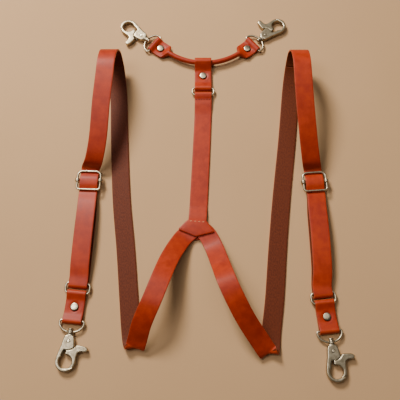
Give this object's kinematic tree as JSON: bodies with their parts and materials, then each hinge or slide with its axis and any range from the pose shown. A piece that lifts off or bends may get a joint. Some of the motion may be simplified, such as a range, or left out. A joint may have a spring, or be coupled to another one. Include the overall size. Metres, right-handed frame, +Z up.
{
  "type": "leather suspenders",
  "caption": "Y-back leather suspenders with sliding adjusters, riveted tabs, a rolled leather rear bridge and swivelling trigger snaps.",
  "frame": {"origin": "middle of the laid-out footprint, on the table", "axes": "+Z up from the table, +Y from the front snaps towards the rear snaps, +X to the right with the rear snaps at the top"},
  "size_m": [0.303, 0.432, 0.0491],
  "materials": {
    "leather": "semi-gloss orange-brown grain leather",
    "hardware": "antique brass plated zinc",
    "cord_core": "twisted cotton",
    "spring": "plain spring steel"
  },
  "bodies": {
    "root": {"yoke_front_patch": "leather", "yoke_back_patch": "leather", "centre_strap": "leather", "left_shoulder_strap": "leather", "right_shoulder_strap": "leather"},
    "rear_ring": {"rear_ring": "hardware"},
    "rear_tab": {"rear_tab": "leather", "rear_rivet_cap": "hardware", "rear_rivet_post": "hardware"},
    "rolled_cord": {"rolled_cord_cover": "leather", "rolled_cord_core": "cord_core", "rear_left_rivet_cap": "hardware", "rear_left_rivet_post": "hardware", "rear_right_rivet_cap": "hardware", "rear_right_rivet_post": "hardware"},
    "rear_left_eye": {"rear_left_eye": "hardware"},
    "rear_left_hook": {"rear_left_hook": "hardware", "rear_left_trigger_pin": "hardware", "rear_left_trigger_spring": "spring"},
    "rear_left_trigger": {"rear_left_trigger": "hardware"},
    "rear_right_eye": {"rear_right_eye": "hardware"},
    "rear_right_hook": {"rear_right_hook": "hardware", "rear_right_trigger_pin": "hardware", "rear_right_trigger_spring": "spring"},
    "rear_right_trigger": {"rear_right_trigger": "hardware"},
    "front_left_adjuster": {"front_left_adjuster_frame": "hardware"},
    "front_left_adjuster_bar": {"front_left_adjuster_bar": "hardware"},
    "front_left_ring": {"front_left_ring": "hardware"},
    "front_left_tab": {"front_left_tab": "leather", "front_left_rivet_cap": "hardware", "front_left_rivet_post": "hardware"},
    "front_left_eye": {"front_left_eye": "hardware"},
    "front_left_hook": {"front_left_hook": "hardware", "front_left_trigger_pin": "hardware", "front_left_trigger_spring": "spring"},
    "front_left_trigger": {"front_left_trigger": "hardware"},
    "front_right_adjuster": {"front_right_adjuster_frame": "hardware"},
    "front_right_adjuster_bar": {"front_right_adjuster_bar": "hardware"},
    "front_right_ring": {"front_right_ring": "hardware"},
    "front_right_tab": {"front_right_tab": "leather", "front_right_rivet_cap": "hardware", "front_right_rivet_post": "hardware"},
    "front_right_eye": {"front_right_eye": "hardware"},
    "front_right_hook": {"front_right_hook": "hardware", "front_right_trigger_pin": "hardware", "front_right_trigger_spring": "spring"},
    "front_right_trigger": {"front_right_trigger": "hardware"}
  },
  "joints": [
    {"name": "rear_ring_pivot", "type": "hinge", "parent": "root", "child": "rear_ring", "pos_m": [-0.00147, 0.10977, 0.00355], "axis": [1, 0, 0], "range_deg": [-60, 60]},
    {"name": "rear_tab_pivot", "type": "hinge", "parent": "rear_ring", "child": "rear_tab", "pos_m": [-0.00147, 0.11877, 0.00355], "axis": [1, 0, 0], "range_deg": [-60, 60]},
    {"name": "rolled_cord_slide", "type": "hinge", "parent": "rear_tab", "child": "rolled_cord", "pos_m": [0.00013, 0.22537, 0.006], "axis": [0, 0, 1], "range_deg": [-14, 14]},
    {"name": "rear_left_eye_pivot", "type": "hinge", "parent": "rolled_cord", "child": "rear_left_eye", "pos_m": [-0.06112, 0.17949, 0.00355], "axis": [-0.6018, -0.7986, 0], "range_deg": [-75, 75]},
    {"name": "rear_left_swivel", "type": "hinge", "parent": "rear_left_eye", "child": "rear_left_hook", "pos_m": [-0.0715, 0.18732, 0.00355], "axis": [-0.7986, 0.6018, 0], "continuous": true},
    {"name": "rear_left_trigger_pull", "type": "hinge", "parent": "rear_left_hook", "child": "rear_left_trigger", "pos_m": [-0.07749, 0.19183, 0.00355], "axis": [0, 0, -1], "range_deg": [0, 14], "stiffness_Nm_per_rad": 0.01, "springref_deg": -11.46, "deforming": ["rear_left_trigger_spring"]},
    {"name": "rear_right_eye_pivot", "type": "hinge", "parent": "rolled_cord", "child": "rear_right_eye", "pos_m": [0.05994, 0.17961, 0.00355], "axis": [-0.6428, 0.766, 0], "range_deg": [-75, 75]},
    {"name": "rear_right_swivel", "type": "hinge", "parent": "rear_right_eye", "child": "rear_right_hook", "pos_m": [0.06989, 0.18797, 0.00355], "axis": [0.766, 0.6428, 0], "continuous": true},
    {"name": "rear_right_trigger_pull", "type": "hinge", "parent": "rear_right_hook", "child": "rear_right_trigger", "pos_m": [0.07564, 0.19279, 0.00355], "axis": [0, 0, -1], "range_deg": [0, 14], "stiffness_Nm_per_rad": 0.01, "springref_deg": -11.46, "deforming": ["rear_right_trigger_spring"]},
    {"name": "front_left_adjuster_slide", "type": "slide", "parent": "root", "child": "front_left_adjuster", "axis": [0.0349, 0.9994, 0], "range_m": [-0.05, 0.05], "deforming": ["left_shoulder_strap"]},
    {"name": "front_left_bar_slide", "type": "slide", "parent": "front_left_adjuster", "child": "front_left_adjuster_bar", "axis": [0.0349, 0.9994, 0], "range_m": [-0.004, 0.004]},
    {"name": "front_left_loop_slide", "type": "slide", "parent": "front_left_adjuster", "child": "front_left_ring", "axis": [0.0349, 0.9994, 0], "range_m": [-0.025, 0.025]},
    {"name": "front_left_tab_pivot", "type": "hinge", "parent": "front_left_ring", "child": "front_left_tab", "pos_m": [-0.13479, -0.1267, 0.00355], "axis": [0.9954, -0.0958, 0], "range_deg": [-70, 70]},
    {"name": "front_left_eye_pivot", "type": "hinge", "parent": "front_left_tab", "child": "front_left_eye", "pos_m": [-0.13753, -0.15517, 0.00355], "axis": [0.9954, -0.0958, 0], "range_deg": [-75, 75]},
    {"name": "front_left_swivel", "type": "hinge", "parent": "front_left_eye", "child": "front_left_hook", "pos_m": [-0.13878, -0.16811, 0.00355], "axis": [-0.0958, -0.9954, 0], "continuous": true},
    {"name": "front_left_trigger_pull", "type": "hinge", "parent": "front_left_hook", "child": "front_left_trigger", "pos_m": [-0.1395, -0.17558, 0.00355], "axis": [0, 0, -1], "range_deg": [0, 14], "stiffness_Nm_per_rad": 0.01, "springref_deg": -11.46, "deforming": ["front_left_trigger_spring"]},
    {"name": "front_right_adjuster_slide", "type": "slide", "parent": "root", "child": "front_right_adjuster", "axis": [-0.0698, 0.9976, 0], "range_m": [-0.05, 0.05], "deforming": ["right_shoulder_strap"]},
    {"name": "front_right_bar_slide", "type": "slide", "parent": "front_right_adjuster", "child": "front_right_adjuster_bar", "axis": [-0.0698, 0.9976, 0], "range_m": [-0.004, 0.004]},
    {"name": "front_right_loop_slide", "type": "slide", "parent": "front_right_adjuster", "child": "front_right_ring", "axis": [-0.0698, 0.9976, 0], "range_m": [-0.025, 0.025]},
    {"name": "front_right_tab_pivot", "type": "hinge", "parent": "front_right_ring", "child": "front_right_tab", "pos_m": [0.12499, -0.1368, 0.00355], "axis": [0.9945, 0.1045, 0], "range_deg": [-70, 70]},
    {"name": "front_right_eye_pivot", "type": "hinge", "parent": "front_right_tab", "child": "front_right_eye", "pos_m": [0.12798, -0.16524, 0.00355], "axis": [0.9945, 0.1045, 0], "range_deg": [-75, 75]},
    {"name": "front_right_swivel", "type": "hinge", "parent": "front_right_eye", "child": "front_right_hook", "pos_m": [0.12934, -0.17817, 0.00355], "axis": [0.1045, -0.9945, 0], "continuous": true},
    {"name": "front_right_trigger_pull", "type": "hinge", "parent": "front_right_hook", "child": "front_right_trigger", "pos_m": [0.13012, -0.18563, 0.00355], "axis": [0, 0, -1], "range_deg": [0, 14], "stiffness_Nm_per_rad": 0.01, "springref_deg": -11.46, "deforming": ["front_right_trigger_spring"]}
  ],
  "couplings": [
    {"joint": "front_left_loop_slide", "follows": "front_left_adjuster_slide", "ratio": -0.5},
    {"joint": "front_right_loop_slide", "follows": "front_right_adjuster_slide", "ratio": -0.5}
  ]
}
